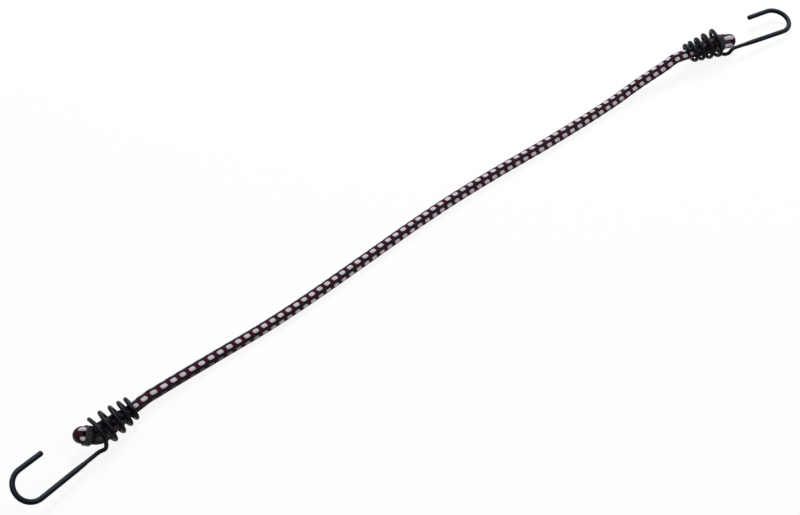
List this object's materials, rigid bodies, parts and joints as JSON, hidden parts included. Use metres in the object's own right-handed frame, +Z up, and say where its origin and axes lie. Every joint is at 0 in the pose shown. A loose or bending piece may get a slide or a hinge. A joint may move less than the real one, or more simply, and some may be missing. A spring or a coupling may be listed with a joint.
{
  "type": "bungee cord",
  "caption": "Relaxed luggage bungee cord: rubber threads in a patterned woven sleeve, ends folded and clipped inside tapering wire spirals that run on into vinyl-dipped hooks.",
  "frame": {"origin": "Middle of the bounding box of the hooks, clips and folds, on the floor that the cord lies on.", "axes": "+X runs along the cord from the near hook to the far hook, +Y points away from the side the hooks' shanks lie on, and +Z is up."},
  "size_m": [0.6934, 0.0371, 0.0234],
  "materials": {
    "woven_sleeve": "tight black weave with maroon rings and rows of pale floats",
    "rubber_core": "plain matt rubber",
    "clip_steel": "dull grey pressed steel",
    "black_wire": "satin slate black",
    "vinyl_dip": "soft satin black"
  },
  "bodies": {
    "cord": {"sleeve": "woven_sleeve", "rubber_thread_01": "rubber_core", "rubber_thread_02": "rubber_core", "rubber_thread_03": "rubber_core", "rubber_thread_04": "rubber_core", "rubber_thread_05": "rubber_core", "rubber_thread_06": "rubber_core", "rubber_thread_07": "rubber_core", "rubber_thread_08": "rubber_core", "rubber_thread_09": "rubber_core", "rubber_thread_10": "rubber_core", "rubber_thread_11": "rubber_core", "rubber_thread_12": "rubber_core", "rubber_thread_13": "rubber_core", "near_cord_fold": "woven_sleeve", "near_clip": "clip_steel"},
    "near_hook": {"near_hook_wire": "black_wire", "near_hook_coat": "vinyl_dip"},
    "far_end": {"far_cord_fold": "woven_sleeve", "far_clip": "clip_steel"},
    "far_hook": {"far_hook_wire": "black_wire", "far_hook_coat": "vinyl_dip"}
  },
  "joints": [
    {"name": "near_swivel", "type": "hinge", "parent": "cord", "child": "near_hook", "pos_m": [-0.25064, 0.00865, 0.00756], "axis": [-0.9835, -0.1575, 0.0889], "range_deg": [-90, 90]},
    {"name": "stretch", "type": "slide", "parent": "cord", "child": "far_end", "axis": [1, 0, 0], "range_m": [0, 0.5], "stiffness_N_per_m": 250, "deforming": ["sleeve", "rubber_thread_01", "rubber_thread_02", "rubber_thread_03", "rubber_thread_04", "rubber_thread_05", "rubber_thread_06", "rubber_thread_07", "rubber_thread_08", "rubber_thread_09", "rubber_thread_10", "rubber_thread_11", "rubber_thread_12", "rubber_thread_13"]},
    {"name": "far_swivel", "type": "hinge", "parent": "far_end", "child": "far_hook", "pos_m": [0.25046, 0.0094, 0.013], "axis": [0.9833, -0.1663, -0.0741], "range_deg": [-90, 90]}
  ]
}
